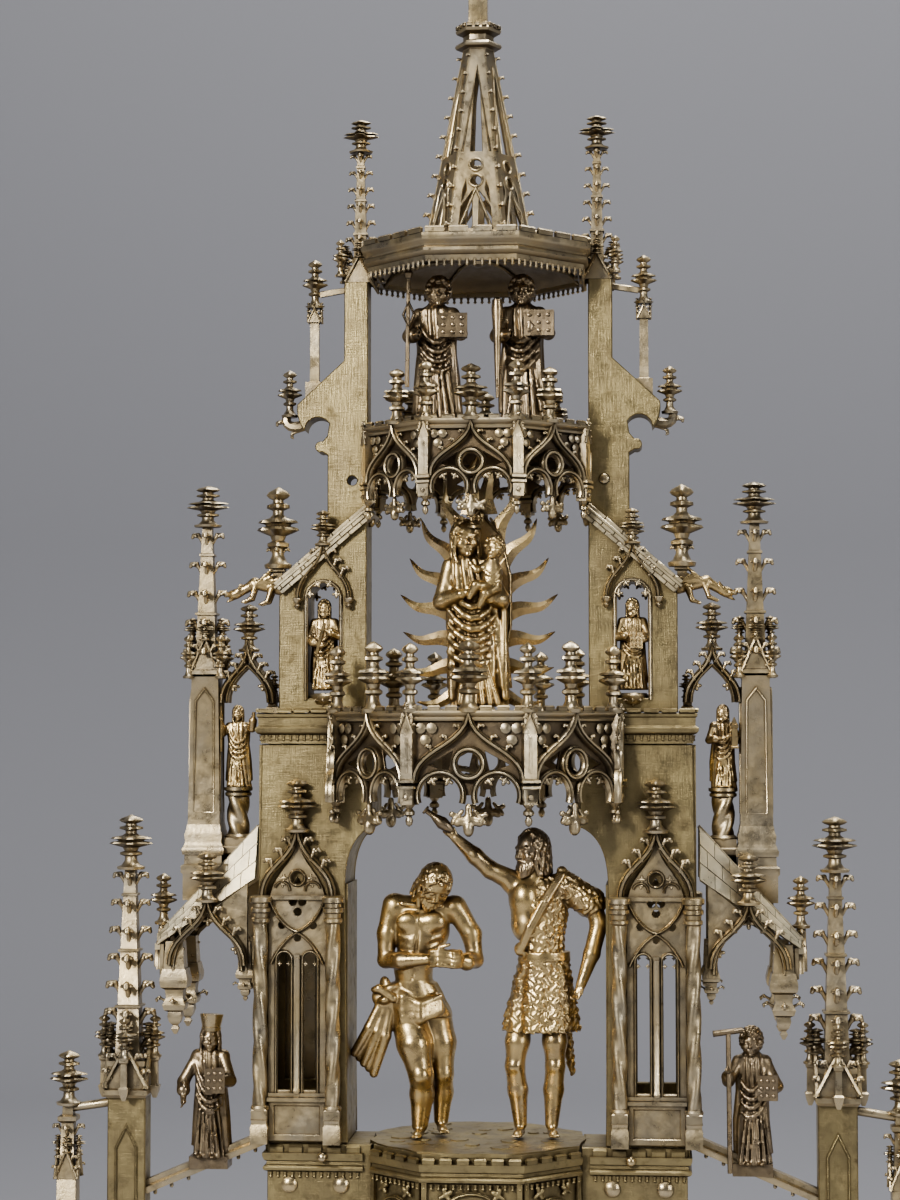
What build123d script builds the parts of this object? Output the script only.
"""A late Gothic tower monstrance in silver-gilt, about 0.9 m tall.

The frame is millimetres, +Z up, with the origin at the centre of the foot's underside. +X is the
viewer's right and the front faces -Y. A lobed foot and a stem with a knop carry a base platform. Two
lower piers stand on it beside a glass vessel, and the tower above rests on those piers and lifts off
them with the glass, which frees the lunette that holds the host.
"""

from build123d import *

import os
from math import cos, pi, sin, tan

# Heights of the storeys, from the table up.
Z_FOOT_FLANGE = 8.0
Z_STEM = 62.0
Z_KNOP = 168.0
Z_CALYX = 246.0
Z_BASE = 296.0
Z_BLOCK = 420.0
Z_STAGE = 463.0
Z_LEDGE_BOTTOM = 592.7
Z_LEDGE = 603.3
Z_FLOOR = 697.0
Z_CANOPY = 750.0
Z_SPIRE = 759.0
Z_COLLAR = 826.0
Z_ROD = 834.0
Z_TOP = 902.0

# Distances of the upright pieces from the middle, along X.
X_UPPER_INNER, X_UPPER_OUTER = 36.8, 44.8
X_MIDDLE_OUTER = 66.0
X_NICHE_INNER, X_NICHE_OUTER = 46.0, 56.3
X_NICHE = (X_NICHE_INNER + X_NICHE_OUTER) / 2
X_PIER_INNER, X_PIER_OUTER = 42.0, 72.0
X_WINDOW = 58.5
X_SHAFT = 91.5
X_COLUMN = 80.7
X_GABLE = 77.3
X_CANOPY_OUTER = 104.0
X_BUTTRESS = 117.0
X_OUTPOST = 137.5

# Half depths along Y.
Y_UPPER = 5.0
Y_MIDDLE = 8.0
Y_PIER = 14.0
Y_LEDGE = 17.0

# Octagonal storeys, by apothem.
A_CANOPY = 36.8
A_GALLERY_UPPER = 36.8
A_GALLERY_LOWER = 47.0
A_STAGE = 33.0

SHEET = 1.8
SIDES = ((-1, "left"), (1, "right"))


def front_plane(y):
    """A plane that faces the viewer, with local x along +X and local y along +Z."""
    return Plane(origin=(0, y, 0), x_dir=(1, 0, 0), z_dir=(0, -1, 0))


def facing(bearing):
    """The upright plane through the middle that faces a bearing, in radians."""
    return Plane(
        origin=(0, 0, 0),
        x_dir=(-sin(bearing), cos(bearing), 0),
        z_dir=(cos(bearing), sin(bearing), 0),
    )


def slab(outline, depth, y=0.0):
    """A flat plate of that outline in X and Z, with its depth centred on y."""
    with BuildPart() as plate:
        with BuildSketch(front_plane(y)):
            with BuildLine():
                Polyline(*outline, close=True)
            make_face()
        extrude(amount=depth / 2, both=True)
    return plate.part


def handed(outline, side):
    """The same outline on the left, at side -1, or on the right, at side 1."""
    return [(side * x, z) for x, z in outline]


def box(x, z, y, mode=Mode.ADD):
    """A box between two values of each of X, Z and Y, for use inside a part."""
    centre = ((x[0] + x[1]) / 2, (y[0] + y[1]) / 2, (z[0] + z[1]) / 2)
    with Locations(centre):
        Box(abs(x[1] - x[0]), abs(y[1] - y[0]), abs(z[1] - z[0]), mode=mode)


def stack(sections, sides, x=0.0, y=0.0, turn=0.0):
    """A turned or faceted upright piece: (height, radius) sections of a regular polygon, joined straight."""
    with BuildPart() as piece:
        for z, radius in sections:
            with BuildSketch(Plane.XY.offset(z)):
                with Locations((x, y)):
                    RegularPolygon(radius, sides, rotation=turn)
        loft(ruled=True)
    return piece.part


def turned(profile, x=0.0, y=0.0):
    """A solid of revolution about an upright axis, from (radius, height) points."""
    with BuildPart() as piece:
        with BuildSketch(Plane(origin=(x, y, 0), x_dir=(1, 0, 0), z_dir=(0, -1, 0))):
            with BuildLine():
                Polyline(*profile, close=True)
            make_face()
        revolve(axis=Axis((x, y, 0), (0, 0, 1)))
    return piece.part


def octagon(apothem, z, height, mode=Mode.ADD):
    """An octagonal prism with flat sides to the front and to the piers, for use inside a part."""
    with BuildSketch(Plane.XY.offset(z)) as outline:
        RegularPolygon(apothem, 8, major_radius=False, rotation=22.5)
    extrude(outline.sketch, amount=height, mode=mode)


def save(name, *solids):
    """Writes one node, which is one solid or a group of like solids."""
    piece = solids[0] if len(solids) == 1 else Compound(children=list(solids))
    piece.label = name
    export_step(piece, f"parts/{name}.step")


def finial(x, y, z, height, width):
    """A stem with a spread of four leaves and a knob, as a plain faceted piece."""
    w = width / 2
    return stack(
        [
            (z, 0.34 * w),
            (z + 0.16 * height, 0.34 * w),
            (z + 0.20 * height, 0.62 * w),
            (z + 0.26 * height, 0.34 * w),
            (z + 0.48 * height, 0.34 * w),
            (z + 0.54 * height, w),
            (z + 0.66 * height, w),
            (z + 0.72 * height, 0.34 * w),
            (z + 0.84 * height, 0.34 * w),
            (z + 0.90 * height, 0.52 * w),
            (z + height, 0.08 * w),
        ],
        8,
        x,
        y,
        22.5,
    )


def pinnacle(x, y, z, height, base, leaf):
    """A tapering square spirelet with its finial: base is its width at the foot, leaf that of the finial."""
    z_ring = z + 0.70 * height
    r = base / 2**0.5
    thin = 0.42 * r
    return stack(
        [
            (z, r),
            (z + 0.16 * height, r),
            (z + 0.20 * height, 0.72 * r),
            (z_ring, thin),
            (z_ring + 0.01 * height, 1.6 * thin),
            (z_ring + 0.04 * height, 1.6 * thin),
            (z_ring + 0.05 * height, thin),
            (z + 0.84 * height, thin),
            (z + 0.86 * height, leaf / 2),
            (z + 0.90 * height, leaf / 2),
            (z + 0.92 * height, thin),
            (z + 0.96 * height, 1.5 * thin),
            (z + height, 0.2 * thin),
        ],
        4,
        x,
        y,
        45,
    )


def gable(x, z_foot, half, rise, band, depth, y):
    """A plain pointed gable: two raking bars that meet over an open arch."""
    outer = [(x - half, z_foot), (x, z_foot + rise), (x + half, z_foot)]
    inner = [(x + half - band, z_foot), (x, z_foot + rise - 1.6 * band), (x - half + band, z_foot)]
    return slab(outer + inner, depth, y)


def statue(x, y, z, height, width, depth):
    """A standing robed figure as a plain closed form: hem, hips, chest, shoulders, neck and head."""
    shape = [
        (0.00, 0.90),
        (0.30, 0.74),
        (0.55, 0.78),
        (0.72, 0.92),
        (0.80, 0.80),
        (0.84, 0.34),
        (0.88, 0.42),
        (0.96, 0.42),
        (1.00, 0.14),
    ]
    with BuildPart() as figure:
        for share, wide in shape:
            with BuildSketch(Plane.XY.offset(z + share * height)):
                with Locations((x, y)):
                    deep = max(wide * depth / 2, 0.4 * wide * width / 2)
                    Ellipse(wide * width / 2, deep)
        loft(ruled=True)
    return figure.part


# ---------------------------------------------------------------- foot, stem and base platform

LOBE_RADIUS, LOBE_REACH = 38.0, 64.0
STEM_RADIUS = 13.0


def lobed_flange():
    """The foot's rim: six round lobes around the middle, as a stepped ring that stands on the table."""
    step = Z_FOOT_FLANGE / 2
    with BuildPart() as flange:
        for z, inset in ((0, 0), (step, 2.5)):
            with BuildSketch(Plane.XY.offset(z)):
                with PolarLocations(LOBE_REACH, 6):
                    Circle(LOBE_RADIUS - inset)
                Circle(LOBE_REACH)
                Circle(LOBE_REACH - 22, mode=Mode.SUBTRACT)
            extrude(amount=step)
    return flange.part


def foot_dome():
    """The hollow swelling body between the flange and the stem."""
    outer = [(68.0, Z_FOOT_FLANGE), (52.0, 15.0), (34.0, 26.0), (22.0, 42.0), (16.0, Z_STEM)]
    inner = [(r - 2.4, z - (0 if i == 0 else 1.2)) for i, (r, z) in enumerate(outer)]
    inner[-1] = (13.6, Z_STEM)
    return turned(outer + inner[::-1])


def knop():
    """The grip of the stem: a flattened body with six round bosses."""
    with BuildPart() as grip:
        add(
            stack(
                [
                    (Z_KNOP - 17, STEM_RADIUS + 2),
                    (Z_KNOP - 12, 21),
                    (Z_KNOP - 4, 29),
                    (Z_KNOP + 4, 29),
                    (Z_KNOP + 12, 21),
                    (Z_KNOP + 17, STEM_RADIUS + 2),
                ],
                12,
            )
        )
        for k in range(6):
            bearing = 60 * k
            direction = (cos(bearing * pi / 180), sin(bearing * pi / 180), 0)
            with BuildSketch(Plane(origin=(0, 0, Z_KNOP), z_dir=direction).offset(22)):
                Circle(7)
            extrude(amount=12)
    return grip.part


def lower_stem():
    """The six-sided stem between the foot and the knop."""
    return stack([(Z_STEM, 16), (Z_STEM + 4, 16), (Z_STEM + 6, STEM_RADIUS), (Z_KNOP - 17, STEM_RADIUS)], 6)


def upper_stem():
    """The six-sided stem between the knop and the calyx."""
    return stack([(Z_KNOP + 17, STEM_RADIUS), (Z_CALYX, STEM_RADIUS)], 6)


def calyx():
    """The flared cup that spreads the stem to the platform."""
    return stack([(Z_CALYX, 16), (Z_CALYX + 8, 17), (Z_BASE - 14, 25), (Z_BASE - 6, 32)], 8, turn=22.5)


def platform():
    """The base platform: an octagonal middle under the vessel, and a wing to each side for the piers."""
    wing = 126.0
    with BuildPart() as plate:
        octagon(44, Z_BASE - 6, 6)
        box((-wing, wing), (Z_BASE - 6, Z_BASE), (-18, 18))
    return plate.part


def bracket(side):
    """A raking bracket from the calyx out to the end of the platform's wing."""
    outline = [
        (34, Z_BASE - 6),
        (118, Z_BASE - 6),
        (118, Z_BASE - 11),
        (84, Z_BASE - 15),
        (58, Z_BASE - 24),
        (40, Z_BASE - 36),
        (30, Z_BASE - 40),
    ]
    return slab(handed(outline, side), 5)


def lower_pier(side):
    """A box pier beside the vessel, pierced by a pair of lancets, with a tenon that enters the tower."""
    inner, outer, depth = 45.0, 66.0, 13.0
    middle = side * (inner + outer) / 2
    with BuildPart() as pier:
        box((side * inner, side * outer), (Z_BASE, Z_BLOCK), (-depth, depth))
        box(
            (side * (inner + 2), side * (outer - 2)),
            (Z_BASE + 4, Z_BLOCK - 5),
            (-depth + 2, depth - 2),
            Mode.SUBTRACT,
        )
        for lancet in (-4.4, 4.4):
            with BuildSketch(front_plane(-20)):
                with Locations((middle + lancet, (Z_BASE + Z_BLOCK) / 2)):
                    SlotOverall(88, 5.4, rotation=90)
            extrude(amount=-40, mode=Mode.SUBTRACT)
        box((middle - 6, middle + 6), (Z_BLOCK, Z_BLOCK + 8), (-8, 8))
    return pier.part


# ---------------------------------------------------------------- vessel and lunette

GLASS_RADIUS = 33.0
LUNETTE_Z = 352.0
LUNETTE_RADIUS = 21.0
PIN_Z = 328.0
PIN_Y = -3.4
PIN_RADIUS = 0.8


def vessel_seat():
    """The round seat of the glass on the base platform: a floor with a raised rim."""
    rim = [
        (0, Z_BASE),
        (40, Z_BASE),
        (40, Z_BASE + 9),
        (36.2, Z_BASE + 9),
        (36.2, Z_BASE + 3),
        (0, Z_BASE + 3),
    ]
    return turned(rim)


def crescent(y, depth):
    """Most of a flat ring, open at the top, that holds the rim of the host."""
    with BuildPart() as ring:
        with BuildSketch(front_plane(y)):
            with Locations((0, LUNETTE_Z)):
                Circle(LUNETTE_RADIUS)
                Circle(LUNETTE_RADIUS - 3.2, mode=Mode.SUBTRACT)
            with Locations((0, LUNETTE_Z + LUNETTE_RADIUS)):
                Rectangle(3 * LUNETTE_RADIUS, 2 * LUNETTE_RADIUS - 8, mode=Mode.SUBTRACT)
        extrude(amount=depth / 2, both=True)
    return ring.part


def lunette_back():
    """The standing half of the lunette: a tongue for the socket, a stem, the crescent and two hinge lugs."""
    with BuildPart() as back:
        add(crescent(1.6, 1.4))
        add(
            slab(
                [
                    (-4, Z_BASE + 4),
                    (4, Z_BASE + 4),
                    (4, Z_BASE + 12),
                    (2, Z_BASE + 16),
                    (2.6, 332.6),
                    (-2.6, 332.6),
                    (-2, Z_BASE + 16),
                    (-4, Z_BASE + 12),
                ],
                2.6,
                2.2,
            )
        )
        for lug in (-1, 1):
            box((lug * 3.4, lug * 5.2), (PIN_Z - 1.8, PIN_Z + 1.8), (PIN_Y - 1.8, 3.4))
        box((-5.2, 5.2), (PIN_Z - 1.8, PIN_Z + 1.8), (1.0, 3.4))
        with BuildSketch(Plane.YZ.offset(-8)):
            with Locations((PIN_Y, PIN_Z)):
                Circle(PIN_RADIUS + 0.02)
        extrude(amount=16, mode=Mode.SUBTRACT)
    return back.part


def lunette_leaf():
    """The front half, which swings forward on its pin to let the host in."""
    with BuildPart() as leaf:
        add(crescent(-1.6, 1.4))
        box((-2.4, 2.4), (PIN_Z, 332.6), (PIN_Y + 0.9, -0.9))
        with BuildSketch(Plane.YZ.offset(-3.1)):
            with Locations((PIN_Y, PIN_Z)):
                Circle(1.7)
        extrude(amount=6.2)
        with BuildSketch(Plane.YZ.offset(-8)):
            with Locations((PIN_Y, PIN_Z)):
                Circle(PIN_RADIUS + 0.05)
        extrude(amount=16, mode=Mode.SUBTRACT)
    return leaf.part


def lunette_pin():
    """The hinge pin, headed at each end outside the lugs."""
    with BuildPart() as pin:
        with BuildSketch(Plane.YZ.offset(-5.2)):
            with Locations((PIN_Y, PIN_Z)):
                Circle(PIN_RADIUS)
        extrude(amount=10.4)
        for end in (-1, 1):
            with BuildSketch(Plane.YZ.offset(end * 5.25)):
                with Locations((PIN_Y, PIN_Z)):
                    Circle(1.3)
            extrude(amount=end * 0.9)
            with BuildSketch(Plane.YZ.offset(end * 5.0)):
                with Locations((PIN_Y, PIN_Z)):
                    Circle(PIN_RADIUS)
            extrude(amount=end * 0.5)
    return pin.part


def lunette_socket():
    """The slotted block on the vessel's floor that takes the lunette's tongue."""
    with BuildPart() as socket:
        box((-9, 9), (Z_BASE + 3, Z_BASE + 10), (-3, 7.4))
        box((-4.1, 4.1), (Z_BASE + 3.8, Z_BASE + 11), (0.8, 3.6), Mode.SUBTRACT)
    return socket.part


# ---------------------------------------------------------------- buttresses and flying bars


def hook_plate(side, inner, outer_top, outer_low, tip, levels, depth, notch):
    """A pier plate with a raking shoulder that runs out to a hooked bracket. Under the bracket is a round
    notch with a knob below it. levels are the heights of the top, of the shoulder's start and end, of the
    bracket's underside and of the two lower corners."""
    z_top, z_start, z_end, z_hook, z_low_outer, z_low_inner = levels
    outline = [
        (inner, z_top),
        (outer_top, z_top),
        (outer_top, z_start),
        (tip, z_end),
        (tip - 0.35 * (tip - outer_low), z_hook),
        (outer_low, z_hook - 0.5 * notch),
        (outer_low, z_low_outer),
        (inner, z_low_inner),
    ]
    with BuildPart() as plate:
        with BuildSketch(front_plane(0)):
            with BuildLine():
                Polyline(*handed(outline, side), close=True)
            make_face()
            with Locations((side * (outer_low + 0.75 * notch), z_hook)):
                Circle(notch, mode=Mode.SUBTRACT)
            with Locations((side * (outer_low + 0.2 * notch), z_hook - 1.3 * notch)):
                Circle(0.45 * notch)
        extrude(amount=depth / 2, both=True)
    return plate.part


Z_BUTTRESS_TOP = 478.0
Z_OUTPOST = 421.3
BUTTRESS_LEVELS = (Z_BUTTRESS_TOP, 430.0, 410.0, 400.0, Z_BASE, Z_BASE)


def buttress(side):
    """The plate pier at the end of the platform, with the bracket for the small outer pinnacle."""
    return hook_plate(side, 110.6, 123.4, 127.0, 146.0, BUTTRESS_LEVELS, 10, 6.5)


def outpost(side):
    """The slender six-sided shaft on the bracket, with its pinnacle."""
    x = side * X_OUTPOST
    return stack(
        [
            (Z_OUTPOST, 4.2),
            (426, 4.2),
            (428, 3.1),
            (452, 3.1),
            (454, 4.6),
            (460, 3.0),
            (473, 2.6),
            (476, 2.2),
            (480, 2.2),
            (481, 5.6),
            (483, 5.6),
            (484, 1.8),
            (488, 0.6),
        ],
        6,
        x,
    )


def outpost_tie(side):
    """The short bar that steadies the outpost against the buttress."""
    return slab(handed([(123.5, 474.4), (133.9, 471.6), (133.9, 469.0), (123.5, 471.6)], side), 2.4)


def outpost_foot(side):
    """The wedge that levels the raking bracket under the outpost."""
    x = X_OUTPOST
    rake = (430.0 - 410.0) / (146.0 - 123.4)
    z_in = 430.0 - rake * (x - 4 - 123.4)
    z_out = 430.0 - rake * (x + 4 - 123.4)
    return slab(handed([(x - 4, z_in), (x + 4, z_out), (x + 4, Z_OUTPOST), (x - 4, Z_OUTPOST)], side), 7)


def buttress_pinnacle(side):
    """The tall spirelet on the buttress."""
    return pinnacle(side * X_BUTTRESS, 0, Z_BUTTRESS_TOP, 91, 13.2, 10.5)


def corner_spikes(side):
    """The small shafts with knobs that stand beside the foot of the tall spirelet, left and right."""
    spikes = []
    for step in (-1, 1):
        x = side * X_BUTTRESS + step * 8.6
        spikes.append(finial(x, 0, Z_BUTTRESS_TOP, 23.5, 3.8))
    return spikes


BAR_INNER, BAR_OUTER = 73.0, 110.4
Z_BAR_INNER, Z_BAR_OUTER = 459.5, 443.6


def flying_bar(side):
    """The raking bar over the side arch, from the buttress up to the pier of the tower."""
    outline = [
        (BAR_INNER, Z_BAR_INNER),
        (BAR_OUTER, Z_BAR_OUTER),
        (BAR_OUTER, Z_BAR_OUTER - 4.2),
        (BAR_INNER, Z_BAR_INNER - 4.2),
    ]
    return slab(handed(outline, side), 6)


def side_arch(side):
    """The round arch under the bar, between the buttress and the block."""
    x, radius = 89.6, 20.7
    with BuildPart() as arch:
        with BuildSketch(front_plane(0)):
            with Locations((side * x, 418.0)):
                Circle(radius)
                Circle(radius - 2.6, mode=Mode.SUBTRACT)
                with Locations((0, -radius)):
                    Rectangle(3 * radius, 2 * radius, mode=Mode.SUBTRACT)
        extrude(amount=2.5, both=True)
    return arch.part


def bar_height(x):
    """The height of the flying bar's top at that distance from the middle."""
    share = (x - BAR_INNER) / (BAR_OUTER - BAR_INNER)
    return Z_BAR_INNER + share * (Z_BAR_OUTER - Z_BAR_INNER)


X_BAR_SAINT = 90.0
Z_BAR_SAINT = bar_height(X_BAR_SAINT - 6) + 0.1


def saint_foot(side):
    """The wedge that levels the bar under the saint."""
    inner, outer = X_BAR_SAINT - 6, X_BAR_SAINT + 6
    outline = [
        (inner, bar_height(inner)),
        (outer, bar_height(outer)),
        (outer, Z_BAR_SAINT),
        (inner, Z_BAR_SAINT),
    ]
    return slab(handed(outline, side), 6)


# ---------------------------------------------------------------- the block over the vessel

BAY_FRONT = 16.2
BAY_SHOULDER = (33.7, 15.7)


def bay_outline(grow=0.0):
    """The block's middle bay in plan: straight in front and behind, with a slanting side at each corner."""
    slant = grow * tan(pi / 8)
    front = (BAY_FRONT + slant, A_STAGE + grow)
    shoulder = (BAY_SHOULDER[0] + grow, BAY_SHOULDER[1] + slant)
    ring = [front, shoulder]
    ring += [(x, -y) for x, y in ring[::-1]]
    return ring + [(-x, -y) for x, y in ring]


def plan(outline, z, height, mode=Mode.ADD):
    """A prism on an outline in X and Y, for use inside a part."""
    with BuildSketch(Plane.XY.offset(z)) as shape:
        with BuildLine():
            Polyline(*outline, close=True)
        make_face()
    extrude(shape.sketch, amount=height, mode=mode)


def block_middle():
    """The casing of the middle bay, open below, where the vessel's cover closes it."""
    with BuildPart() as casing:
        plan(bay_outline(), Z_BLOCK, Z_STAGE - 2 - Z_BLOCK)
        plan(bay_outline(-SHEET), Z_BLOCK - 1, Z_STAGE - 4 - Z_BLOCK, Mode.SUBTRACT)
    return casing.part


def block_side(side):
    """The casing over a lower pier, open below for the pier's tenon."""
    inner, outer, depth = 34.0, 68.3, Y_PIER
    with BuildPart() as casing:
        box((side * inner, side * outer), (Z_BLOCK, Z_STAGE), (-depth, depth))
        box(
            (side * (inner + SHEET), side * (outer - SHEET)),
            (Z_BLOCK + 2.5, Z_STAGE - SHEET),
            (-depth + SHEET, depth - SHEET),
            Mode.SUBTRACT,
        )
        middle = side * (45.0 + 66.0) / 2
        box((middle - 6.5, middle + 6.5), (Z_BLOCK - 1, Z_BLOCK + 3), (-8.5, 8.5), Mode.SUBTRACT)
    return casing.part


def stage():
    """The floor that the two figures of the baptism stand on."""
    with BuildPart() as floor:
        plan(bay_outline(1.0), Z_STAGE - 2, 2)
        for side in (-1, 1):
            box((side * 34, side * 36), (Z_STAGE - 3, Z_STAGE + 1), (-18, 18), Mode.SUBTRACT)
    return floor.part


def bay_cornice():
    """The moulded band around the head of the middle bay, in front and behind."""
    with BuildPart() as band:
        plan(bay_outline(1.6), Z_STAGE - 9, 6.8)
        plan(bay_outline(0), Z_STAGE - 10, 9, Mode.SUBTRACT)
        box((-40, 40), (Z_STAGE - 12, Z_STAGE + 2), (-14.2, 14.2), Mode.SUBTRACT)
        for side in (-1, 1):
            box((side * 33.9, side * 40), (Z_STAGE - 12, Z_STAGE + 2), (-20, 20), Mode.SUBTRACT)
    return band.part.solids()


def side_cornices():
    """The moulded strips on the front and back faces of the two side casings."""
    strips = []
    for side in (-1, 1):
        for face in (-1, 1):
            with BuildPart() as strip:
                box(
                    (side * 36.6, side * 68.3),
                    (Z_STAGE - 9, Z_STAGE - 0.2),
                    (face * Y_PIER, face * (Y_PIER + 1.8)),
                )
            strips.append(strip.part)
    return strips


def block_rivets():
    """The round-headed rivets that hold the side casings to their frames."""
    rivets = []
    for side in (-1, 1):
        for face in (-1, 1):
            for x in (44.0, 61.0):
                with BuildPart() as rivet:
                    with BuildSketch(front_plane(face * Y_PIER)):
                        with Locations((side * x, 449.5)):
                            Circle(2.8)
                    extrude(amount=-face * 1.1)
                rivets.append(rivet.part)
    return rivets


def cover():
    """The gilt cover that closes the middle bay from below and holds the glass by its rim."""
    profile = [
        (0, Z_BLOCK - 1),
        (0, Z_BLOCK - 4),
        (GLASS_RADIUS + 0.2, Z_BLOCK - 4),
        (GLASS_RADIUS + 0.2, Z_BLOCK - 12),
        (GLASS_RADIUS + 1.8, Z_BLOCK - 12),
        (GLASS_RADIUS + 1.8, Z_BLOCK - 1),
    ]
    with BuildPart() as lid:
        add(turned(profile))
        plan(bay_outline(), Z_BLOCK - 1, 1)
    return lid.part


def glass():
    """The clear cylinder."""
    return turned(
        [
            (GLASS_RADIUS, Z_BASE + 5),
            (GLASS_RADIUS, Z_BLOCK - 4.1),
            (GLASS_RADIUS - 1.8, Z_BLOCK - 4.1),
            (GLASS_RADIUS - 1.8, Z_BASE + 5),
        ]
    )


def glass_rim():
    """The gilt band around the foot of the glass."""
    return turned(
        [
            (GLASS_RADIUS + 0.1, Z_BASE + 4),
            (GLASS_RADIUS + 0.1, Z_BASE + 13),
            (GLASS_RADIUS + 1.7, Z_BASE + 13),
            (GLASS_RADIUS + 1.7, Z_BASE + 4),
        ]
    )


# ---------------------------------------------------------------- piers of the tower


def window_opening(z_foot, z_spring, half):
    """A pointed opening, as points for an outline."""
    return [(-half, z_foot), (half, z_foot), (half, z_spring), (0, z_spring + 1.6 * half), (-half, z_spring)]


def pier(side):
    """The box pier beside the baptism. Its inner edge swells at the top into half of an arch."""
    nib, z_nib, z_arch = 34.0, 565.7, 548.0
    reach = 43.0 - nib
    outline = [
        (X_PIER_INNER, Z_STAGE),
        (X_PIER_OUTER, Z_STAGE),
        (70.5, Z_LEDGE_BOTTOM),
        (nib, Z_LEDGE_BOTTOM),
        (nib, z_nib),
        (nib + 0.45 * reach, z_nib - 3.0),
        (nib + 0.80 * reach, z_nib - 9.0),
        (43.0, z_arch),
    ]
    with BuildPart() as frame:
        add(slab(handed(outline, side), 2 * Y_PIER))
        box(
            (side * (X_PIER_INNER + 3), side * (X_PIER_OUTER - 3)),
            (Z_STAGE + 3, Z_LEDGE_BOTTOM - 4),
            (-Y_PIER + 2, Y_PIER - 2),
            Mode.SUBTRACT,
        )
        with BuildSketch(front_plane(-20)):
            with BuildLine():
                points = window_opening(479.5, 536.0, 8.3)
                Polyline(*[(side * X_WINDOW + x, z) for x, z in points], close=True)
            make_face()
        extrude(amount=-40, mode=Mode.SUBTRACT)
    return frame.part


def window(side, face):
    """The tracery panel in front of a pier's opening: two lancets, three small lights and a gabled head."""
    x = side * X_WINDOW
    outline = [(-9, 475.5), (9, 475.5), (9, 538), (7, 548), (0, 564), (-7, 548), (-9, 538)]
    with BuildPart() as panel:
        with BuildSketch(front_plane(face * Y_PIER)):
            with BuildLine():
                Polyline(*[(x + u, z) for u, z in outline], close=True)
            make_face()
            with Locations((x - 4.3, 502.5), (x + 4.3, 502.5)):
                SlotOverall(44, 4.4, rotation=90, mode=Mode.SUBTRACT)
            with Locations((x, 537), (x - 5, 531), (x + 5, 531)):
                Circle(1.9, mode=Mode.SUBTRACT)
            with Locations((x, 548)):
                Circle(2.3, mode=Mode.SUBTRACT)
        extrude(amount=-face * 2)
    return panel.part


def window_columns():
    """The wreathed columns on square bases at each side of the tracery windows."""
    columns = []
    for side in (-1, 1):
        for face in (-1, 1):
            for step in (-1, 1):
                x = side * X_WINDOW + step * 11.9
                y = face * (Y_PIER + 2.9)
                sections = [
                    (Z_STAGE + 0.1, 2.85),
                    (474.5, 2.85),
                    (476.5, 2.6),
                    (535.5, 2.6),
                    (536.5, 2.85),
                    (542.0, 2.85),
                ]
                columns.append(stack(sections, 8, x, y, 22.5))
    return columns


def ledge(side):
    """The moulded ledge between the pier and the storey above it."""
    with BuildPart() as shelf:
        box((side * X_UPPER_INNER, side * X_PIER_OUTER), (Z_LEDGE_BOTTOM, Z_LEDGE_BOTTOM + 3), (-15, 15))
        upper_step = (side * X_UPPER_INNER, side * (X_PIER_OUTER + 0.8))
        box(upper_step, (Z_LEDGE_BOTTOM + 3, Z_LEDGE), (-Y_LEDGE, Y_LEDGE))
    return shelf.part


COPING_INNER, COPING_OUTER = 671.8, 645.6
COPING_THICK = 5.0
COPING_END = 67.6


def coping_height(x):
    """The height of the raking coping's top at that distance from the middle."""
    share = (x - X_UPPER_INNER) / (COPING_END - X_UPPER_INNER)
    return COPING_INNER + share * (COPING_OUTER - COPING_INNER)


def niche_pier(side):
    """The storey with a niche that is open to the front and back."""
    outline = [
        (X_UPPER_INNER, Z_LEDGE),
        (X_MIDDLE_OUTER, Z_LEDGE),
        (X_MIDDLE_OUTER, coping_height(X_MIDDLE_OUTER) - COPING_THICK),
        (X_UPPER_INNER, COPING_INNER - COPING_THICK),
    ]
    with BuildPart() as frame:
        add(slab(handed(outline, side), 2 * Y_MIDDLE))
        with BuildSketch(front_plane(-20)):
            with BuildLine():
                half = (X_NICHE_OUTER - X_NICHE_INNER) / 2
                points = window_opening(Z_LEDGE + 4.5, 640.0, half)
                Polyline(*[(side * X_NICHE + x, z) for x, z in points], close=True)
            make_face()
        extrude(amount=-40, mode=Mode.SUBTRACT)
    return frame.part


def coping(side):
    """The raking slab of brick-marked roof on the niche storey."""
    outline = [
        (X_UPPER_INNER, COPING_INNER),
        (COPING_END, COPING_OUTER),
        (COPING_END, COPING_OUTER - COPING_THICK),
        (X_UPPER_INNER, COPING_INNER - COPING_THICK),
    ]
    return slab(handed(outline, side), 2 * Y_MIDDLE + 3)


X_HOOK_TIP = 60.6
Z_SHOULDER, Z_HOOK_TOP, Z_HOOK = 721.0, 706.3, 697.5


def upper_pier(side):
    """The plate pier beside the two upper figures, with the bracket for the small pinnacle."""
    outer_low = 50.3
    levels = (Z_CANOPY, Z_SHOULDER, Z_HOOK_TOP, Z_HOOK, coping_height(outer_low), COPING_INNER)
    with BuildPart() as plate:
        add(hook_plate(side, X_UPPER_INNER, X_UPPER_OUTER, outer_low, X_HOOK_TIP, levels, 2 * Y_UPPER, 4.6))
        with BuildSketch(front_plane(-Y_UPPER)):
            with Locations((side * 42.0, 680.5)):
                Circle(1.6)
        extrude(amount=-5, mode=Mode.SUBTRACT)
    return plate.part


def cross_pin(x, z, y, radius, depth):
    """A round-headed pin whose head stands 1 mm proud of the face at y."""
    with BuildPart() as pin:
        with BuildSketch(front_plane(y - 1)):
            with Locations((x, z)):
                Circle(radius)
        extrude(amount=-depth)
    return pin.part


def cross_pins():
    """The pins through the piers. The upper gallery's left one has been lost, and its hole is open."""
    face = -Y_PIER - 1.8
    return [
        cross_pin(42.0, 680.5, -Y_UPPER, 1.55, 5.9),
        cross_pin(-50.0, Z_STAGE - 4.5, face, 1.8, 1.0),
        cross_pin(50.0, Z_STAGE - 4.5, face, 1.8, 1.0),
    ]


# ---------------------------------------------------------------- side canopies with their shafts

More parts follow.
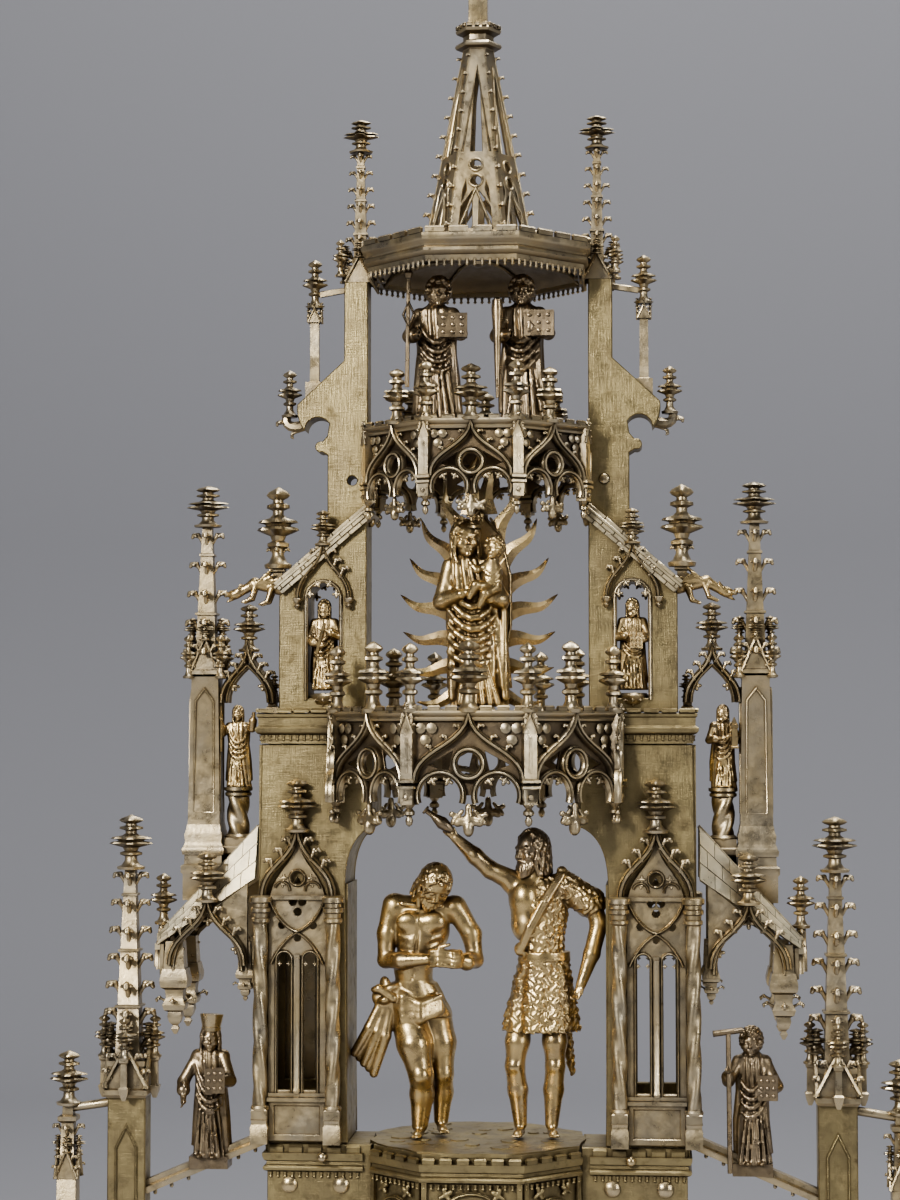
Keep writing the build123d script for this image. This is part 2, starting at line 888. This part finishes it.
ROOF_INNER, ROOF_OUTER = 72.6, 105.0
Z_RIDGE_INNER, Z_RIDGE_OUTER = 565.7, 530.0
Z_EAVE_INNER, Z_EAVE_OUTER = 548.5, 526.6


def ridge_height(x):
    """The height of the raking roof's flat top at that distance from the middle."""
    share = (x - ROOF_INNER) / (ROOF_OUTER - ROOF_INNER)
    return Z_RIDGE_INNER + share * (Z_RIDGE_OUTER - Z_RIDGE_INNER)


def canopy_roof(side):
    """The raking roof that leans on the pier: flat on top, with a hipped slope to the front and back."""
    ends = (
        (ROOF_INNER, Z_EAVE_INNER, Y_PIER, Z_RIDGE_INNER, 7.5),
        (ROOF_OUTER, Z_EAVE_OUTER, Y_PIER, Z_RIDGE_OUTER, 12.0),
    )
    with BuildPart() as roof:
        for x, z_eave, deep, z_ridge, narrow in ends:
            with BuildSketch(Plane.YZ.offset(side * x)):
                with BuildLine():
                    eaves, ridge = [(-deep, z_eave), (deep, z_eave)], [(narrow, z_ridge), (-narrow, z_ridge)]
                    Polyline(*eaves, *ridge, close=True)
                make_face()
        loft(ruled=True)
    return roof.part


Z_CANOPY_FOOT = 518.0
X_CANOPY_GABLE = 88.3


def canopy_frame(side):
    """The walls of the side canopy, with an arch in front, behind and on the outer side."""
    outline = [
        (ROOF_INNER, Z_EAVE_INNER - 0.1),
        (X_CANOPY_OUTER, Z_EAVE_OUTER + 0.57),
        (X_CANOPY_OUTER, Z_CANOPY_FOOT),
        (ROOF_INNER, Z_CANOPY_FOOT),
    ]
    inner = (side * (ROOF_INNER + 2), side * (X_CANOPY_OUTER - 2))
    with BuildPart() as frame:
        add(slab(handed(outline, side), 2 * Y_PIER))
        box(inner, (Z_CANOPY_FOOT - 1, Z_EAVE_OUTER - 1.6), (-Y_PIER + 2, Y_PIER - 2), Mode.SUBTRACT)
        with BuildSketch(front_plane(-20)):
            with Locations((side * X_CANOPY_GABLE, Z_CANOPY_FOOT)):
                Circle(10.5)
        extrude(amount=-40, mode=Mode.SUBTRACT)
        with BuildSketch(Plane.YZ.offset(side * 95)):
            with Locations((0, Z_CANOPY_FOOT)):
                Circle(9)
        extrude(amount=side * 20, mode=Mode.SUBTRACT)
    return frame.part


def canopy_gable(side, face):
    """The gable on the front or back of a side canopy."""
    return gable(side * X_CANOPY_GABLE, Z_CANOPY_FOOT, 13, 23, 3.2, 2.2, face * (Y_PIER + 1.1))


def canopy_pendants(side):
    """The turned pendants under the outer corners of a side canopy, and the small ones at the pier."""
    pendants = []
    for face in (-1, 1):
        y = face * (Y_PIER - 4)
        big = [
            (Z_CANOPY_FOOT - 20, 0.8),
            (Z_CANOPY_FOOT - 17, 2.4),
            (Z_CANOPY_FOOT - 14, 1.6),
            (Z_CANOPY_FOOT - 12, 3.6),
            (Z_CANOPY_FOOT - 10, 4.8),
            (Z_CANOPY_FOOT - 6, 3.6),
            (Z_CANOPY_FOOT - 2, 5.6),
            (Z_CANOPY_FOOT, 5.6),
        ]
        pendants.append(stack(big, 8, side * (X_CANOPY_OUTER - 5), y, 22.5))
        small = [
            (Z_CANOPY_FOOT - 6, 0.8),
            (Z_CANOPY_FOOT - 4, 1.8),
            (Z_CANOPY_FOOT - 2, 1.2),
            (Z_CANOPY_FOOT, 2.2),
        ]
        pendants.append(stack(small, 8, side * 75.2, y, 22.5))
    return pendants


def shaft_plinth(side):
    """The block that levels the roof under the tall shaft."""
    inner, outer, z_top = X_SHAFT - 5.2, X_SHAFT + 5.2, 557.0
    outline = [(inner, ridge_height(inner)), (outer, ridge_height(outer)), (outer, z_top), (inner, z_top)]
    return slab(handed(outline, side), 10.4)


def shaft(side):
    """The tall square shaft, with base mouldings and a slight taper."""
    root2 = 2**0.5
    return stack(
        [
            (557.0, 11.6 / root2),
            (560.0, 11.6 / root2),
            (561.5, 10.2 / root2),
            (563.5, 10.8 / root2),
            (565.0, 9.8 / root2),
            (613.0, 8.6 / root2),
        ],
        4,
        side * X_SHAFT,
        0,
        45,
    )


def shaft_pinnacle(side):
    """The spirelet on the tall shaft."""
    return pinnacle(side * (X_SHAFT - 0.7), 0, 613.0, 66.0, 10.0, 12.0)


def column_plinth(side):
    """The block that levels the roof under the wreathed column."""
    inner, outer, z_top = X_COLUMN - 4.2, X_COLUMN + 4.2, 561.5
    outline = [(inner, ridge_height(inner)), (outer, ridge_height(outer)), (outer, z_top), (inner, z_top)]
    return slab(handed(outline, side), 8.4)


def saint_column(side):
    """The wreathed column that carries a saint."""
    return stack([(561.5, 4.0), (563, 4.0), (564, 3.8), (576, 3.8), (577.7, 4.4)], 12, side * X_COLUMN)


Z_SIDE_GABLE = 607.0


def side_gable(side):
    """The open gable over that saint, between the tall shaft and the niche storey."""
    return gable(side * X_GABLE, Z_SIDE_GABLE, 9.1, 17.3, 2.4, 3.0, 0)


def gable_foot(side):
    """The short post that stands the gable on the ledge."""
    with BuildPart() as post:
        box((side * 68.4, side * 70.6), (Z_LEDGE, Z_SIDE_GABLE), (-1.5, 1.5))
    return post.part


# ---------------------------------------------------------------- galleries, canopy and spire


def gallery(apothem, z_foot, z_top, z_crown, cut):
    """An octagonal band of arches with a floor. Each side has two round arches under a round light. The part
    nearer the middle than cut is left out, because the piers stand there."""
    half = apothem * tan(pi / 8)
    with BuildPart() as band:
        octagon(apothem, z_foot, z_top - z_foot)
        octagon(apothem - SHEET, z_foot - 1, z_top - z_foot - 1, Mode.SUBTRACT)
        for k in range(8):
            bearing = k * pi / 4
            out = facing(bearing)
            with BuildSketch(out.offset(apothem - 6)):
                with Locations((-0.45 * half, z_foot), (0.45 * half, z_foot)):
                    Rectangle(0.62 * half, 2 * (z_crown - z_foot - 0.31 * half))
                with Locations(
                    (-0.45 * half, z_crown - 0.31 * half), (0.45 * half, z_crown - 0.31 * half)
                ):
                    Circle(0.31 * half)
                with Locations((0, z_crown + 0.32 * half)):
                    Circle(0.24 * half)
            extrude(amount=12, mode=Mode.SUBTRACT)
        if cut > 0:
            box((-60, 60), (z_foot - 2, z_top + 2), (-cut, cut), Mode.SUBTRACT)
    return band.part.solids().sort_by(Axis.Y)


def gallery_pendants(apothem, z_foot, height, radius, rows):
    """The corner shafts of a gallery, each outside a corner of the band, hanging a little below it."""
    shafts = []
    reach = apothem / cos(pi / 8) + radius + 0.1
    for k in range(8):
        bearing = (k + 0.5) * pi / 4
        x, y = reach * cos(bearing), reach * sin(bearing)
        if abs(y) < rows:
            continue
        sections = [
            (z_foot - 4, 0.4 * radius),
            (z_foot - 2, 0.8 * radius),
            (z_foot, 0.5 * radius),
            (z_foot + 1, radius),
            (z_foot + 7, radius),
            (z_foot + 8, 0.8 * radius),
            (z_foot + 0.8 * height, 0.8 * radius),
            (z_foot + height, 0.6 * radius),
        ]
        shafts.append(stack(sections, 8, x, y, 22.5))
    return shafts


def gallery_finials(apothem, z, height, width, rows):
    """The finials that stand on a gallery: one over each side's arch and one over each corner shaft."""
    finials = []
    for k in range(16):
        bearing = k * pi / 8
        reach = apothem - 0.9 if k % 2 == 0 else apothem / cos(pi / 8) - 1.4
        x, y = reach * cos(bearing), reach * sin(bearing)
        if abs(y) < rows:
            continue
        rise = height if k % 2 == 0 else 0.86 * height
        finials.append(finial(x, y, z, rise, width))
    return finials


def lower_floor():
    """The floor inside the lower gallery that carries the Virgin: it spans between the two ledges."""
    with BuildPart() as floor:
        box((-X_UPPER_INNER, X_UPPER_INNER), (Z_LEDGE - 6, Z_LEDGE - 4), (-Y_LEDGE, Y_LEDGE))
    return floor.part


def top_canopy():
    """The octagonal roof plate over the upper figures, hollow beneath."""
    with BuildPart() as plate:
        octagon(A_CANOPY, Z_CANOPY - 2, Z_SPIRE - Z_CANOPY + 2)
        octagon(A_CANOPY - 3, Z_CANOPY - 3, 8, Mode.SUBTRACT)
    return plate.part


SPIRE = ((Z_SPIRE, 19.5), (Z_SPIRE + 5, 16.8), (Z_SPIRE + 30, 10.6), (Z_COLLAR, 5.0))


def spire():
    """The hollow six-sided openwork spire, with a tall light and a round one in each side."""
    with BuildPart() as shell:
        add(stack(SPIRE, 6))
        inner = [(z, r - 1.6) for z, r in SPIRE]
        inner[0] = (Z_SPIRE - 0.01, inner[0][1])
        inner[-1] = (Z_COLLAR + 0.01, inner[-1][1])
        add(stack(inner, 6), mode=Mode.SUBTRACT)
        for k in range(3):
            bearing = (90 + 60 * k) * pi / 180
            out = facing(bearing)
            with BuildSketch(out):
                with BuildLine():
                    Polyline((-2.2, Z_SPIRE + 29), (2.2, Z_SPIRE + 29), (0, Z_SPIRE + 56), close=True)
                make_face()
                with Locations((0, Z_SPIRE + 22)):
                    Circle(2.4)
                with Locations((-3.4, Z_SPIRE + 10), (3.4, Z_SPIRE + 10)):
                    SlotOverall(14, 4.4, rotation=90)
            extrude(amount=25, both=True, mode=Mode.SUBTRACT)
    return shell.part


def collar():
    """The spool-shaped six-sided collar over the spire."""
    return stack(
        [
            (Z_COLLAR, 5.2),
            (Z_COLLAR + 0.8, 7.8),
            (Z_COLLAR + 2.6, 7.8),
            (Z_COLLAR + 3.2, 5.6),
            (Z_COLLAR + 5.2, 5.6),
            (Z_COLLAR + 6.2, 7.6),
            (Z_ROD - 0.6, 7.6),
            (Z_ROD, 4.8),
        ],
        6,
    )


def rod():
    """The square socket bar above the collar."""
    return stack([(Z_ROD, 4.4), (Z_ROD + 22, 4.4)], 4, turn=45)


def top_cross():
    """The plain cross with trefoil ends that crowns the tower."""
    z, half, arm = Z_ROD + 22, 1.6, 12.0
    z_arm = Z_TOP - 15
    with BuildPart() as cross:
        with BuildSketch(front_plane(0)):
            with Locations((0, (z + Z_TOP - 2) / 2)):
                Rectangle(2 * half, Z_TOP - 2 - z)
            with Locations((0, z_arm)):
                Rectangle(2 * arm, 2 * half)
            with Locations((arm, z_arm), (-arm, z_arm), (0, Z_TOP - 2.4)):
                Circle(2.4)
        extrude(amount=1.6, both=True)
    return cross.part


def pier_crown(side):
    """The cap of gables and the spirelet on top of an upper pier."""
    x = side * (X_UPPER_INNER + X_UPPER_OUTER + 0.6) / 2
    return pinnacle(x, 0, Z_CANOPY, 52.0, 7.4, 9.4)


def hook_pinnacle(side):
    """The small shaft and spirelet on the upper bracket."""
    x = side * 55.3
    return stack(
        [
            (714.2, 2.9),
            (721.0, 2.9),
            (722.0, 2.2),
            (737.0, 2.0),
            (738.5, 3.0),
            (742.0, 1.8),
            (746.0, 1.6),
            (747.0, 2.6),
            (749.0, 1.4),
            (750.5, 3.6),
            (752.5, 3.6),
            (753.5, 1.2),
            (757.0, 0.4),
        ],
        6,
        x,
    )


def hook_foot(side):
    """The wedge that levels the upper bracket under its small shaft."""
    x, rake = 55.3, (Z_SHOULDER - Z_HOOK_TOP) / (X_HOOK_TIP - X_UPPER_OUTER)
    z_in = Z_SHOULDER - rake * (x - 2.9 - X_UPPER_OUTER)
    z_out = Z_SHOULDER - rake * (x + 2.9 - X_UPPER_OUTER)
    return slab(handed([(x - 2.9, z_in), (x + 2.9, z_out), (x + 2.9, 714.2), (x - 2.9, 714.2)], side), 5)


def hook_tie(side):
    """The bar that steadies the small shaft against the pier."""
    x_end = 53.4
    outline = [(X_UPPER_OUTER, 746.2), (x_end, 744.8), (x_end, 743.2), (X_UPPER_OUTER, 744.6)]
    return slab(handed(outline, side), 2)


# ---------------------------------------------------------------- figures


def sunburst():
    """The almond of flames behind the Virgin."""
    x0, z0, half, tall, rays = 0.0, 637.0, 15.0, 30.0, 24
    outline = []
    for k in range(2 * rays):
        angle = k * pi / rays
        reach = 1.0 if k % 2 == 0 else 0.55
        wide = half + 11.0 * reach
        high = tall + 3.0 * reach
        outline.append((x0 + wide * reach * cos(angle), z0 + high * reach * sin(angle)))
    return slab(outline, 1.6, -5.5)


def niche_figure(side):
    """A small prophet in a niche."""
    return statue(side * X_NICHE, -1.0, Z_LEDGE + 4.5, 33.0, 9.4, 7.0)


def column_figure(side):
    """A saint on a wreathed column."""
    return statue(side * X_COLUMN, 0, 577.7, 27.2, 9.0, 7.0)


def upper_figure(side):
    """One of the two figures under the top canopy."""
    return statue(side * 13.5, 0, Z_FLOOR, 49.0, 13.0, 9.0)


def bar_figure(side):
    """A saint on a flying bar."""
    return statue(side * X_BAR_SAINT, 0, Z_BAR_SAINT, 46.5, 12.0, 9.0)


def gargoyle(side):
    """The beast that leans out from the corner of the niche storey."""
    root = [(67.7, 641), (67.7, 646.5)]
    back_line = [(74, 648.5), (80, 643), (85, 641)]
    belly_line = [(85, 639), (78, 638.5), (73, 641)]
    outline = root + back_line + belly_line
    return slab(handed(outline, side), 4)


def coping_finial(side):
    """The finial at the outer corner of a coping."""
    return finial(side * 65.6, 0, coping_height(62.2), 28.0, 9.0)


# ---------------------------------------------------------------- writing the nodes


def pair(make):
    """The left and right piece of the same kind."""
    return [make(-1), make(1)]


def save_base():
    """The nodes that stand on the table with the foot."""
    save("foot_flange", lobed_flange())
    save("foot_dome", foot_dome())
    save("stem", lower_stem(), upper_stem())
    save("knop", knop())
    save("calyx", calyx())
    save("base_platform", platform())
    save("platform_brackets", *pair(bracket))
    save("vessel_seat", vessel_seat())
    save("lunette_socket", lunette_socket())
    for side, hand in SIDES:
        save(f"lower_pier_{hand}", lower_pier(side))
        save(f"buttress_{hand}", buttress(side))
    save("buttress_spirelets", *pair(buttress_pinnacle), *corner_spikes(-1), *corner_spikes(1))
    save("outposts", *pair(outpost), *pair(outpost_tie))
    save("flying_bars", *pair(flying_bar), *pair(side_arch))
    save("bar_saints", *pair(bar_figure))
    save("base_wedges", *pair(outpost_foot), *pair(saint_foot))


def save_lunette():
    """The nodes of the lunette in the vessel."""
    save("lunette_back", lunette_back())
    save("lunette_leaf", lunette_leaf())
    save("lunette_pin", lunette_pin())


def save_lower_tower():
    """The nodes that lift off the lower piers, up to the storey of the baptism."""
    save("glass_cylinder", glass())
    save("glass_rim", glass_rim())
    save("vessel_cover", cover())
    save("block_middle", block_middle())
    save("block_sides", *pair(block_side))
    save("block_cornices", *bay_cornice(), *side_cornices())
    save("rivets_and_pins", *block_rivets(), *cross_pins())
    save("stage_floor", stage())
    save("figure_christ", statue(-14.5, 2.0, Z_STAGE, 88.0, 26.0, 16.0))
    save("figure_baptist", statue(18.0, 3.0, Z_STAGE, 101.0, 26.0, 18.0))
    for side, hand in SIDES:
        save(f"pier_{hand}", pier(side))
    save("tracery_windows", *[window(side, face) for side in (-1, 1) for face in (-1, 1)])
    save("window_columns", *window_columns())


def save_side_canopies():
    """The nodes that lean on the outer sides of the two piers."""
    save("side_canopies", *pair(canopy_frame))
    save("canopy_roofs", *pair(canopy_roof))
    save("canopy_gables", *[canopy_gable(side, face) for side in (-1, 1) for face in (-1, 1)])
    save("tall_shafts", *pair(shaft), *pair(shaft_pinnacle))
    save("saint_columns", *pair(saint_column))
    save("side_gables", *pair(side_gable))
    wedges = (shaft_plinth, column_plinth, hook_foot, hook_tie, gable_foot)
    save("tower_wedges", *[wedge(side) for wedge in wedges for side in (-1, 1)])


def save_upper_tower():
    """The nodes from the ledges to the cross."""
    save("ledges", *pair(ledge), lower_floor())
    save("lower_gallery", *gallery(A_GALLERY_LOWER, 571.0, Z_LEDGE, 586.0, Y_LEDGE))
    save("upper_gallery", *gallery(A_GALLERY_UPPER, 670.0, Z_FLOOR, 682.0, 0))
    save(
        "pendants",
        *canopy_pendants(-1),
        *canopy_pendants(1),
        *gallery_pendants(A_GALLERY_LOWER, 573.0, 33.0, 2.6, 18),
        *gallery_pendants(A_GALLERY_UPPER, 671.0, 29.0, 2.2, 18),
    )
    save(
        "finials",
        *gallery_finials(A_GALLERY_LOWER, Z_LEDGE, 22.0, 7.6, 19),
        *gallery_finials(A_GALLERY_UPPER, Z_FLOOR, 17.0, 7.0, 19),
        *pair(coping_finial),
    )
    save("figure_virgin", statue(0.0, -11.5, Z_LEDGE - 4, 70.0, 22.0, 10.0))
    save("sunburst", sunburst())
    save("niche_piers", *pair(niche_pier))
    save("small_saints", *pair(niche_figure), *pair(column_figure))
    save("copings", *pair(coping))
    save("corner_beasts", *pair(gargoyle))
    save("upper_piers", *pair(upper_pier))
    save("upper_figures", *pair(upper_figure))
    save("pier_spirelets", *pair(pier_crown), *pair(hook_pinnacle))
    save("top_canopy", top_canopy())
    save("spire", spire())
    save("spire_collar", collar())
    save("top_cross", rod(), top_cross())


os.makedirs("parts", exist_ok=True)
save_base()
save_lunette()
save_lower_tower()
save_side_canopies()
save_upper_tower()
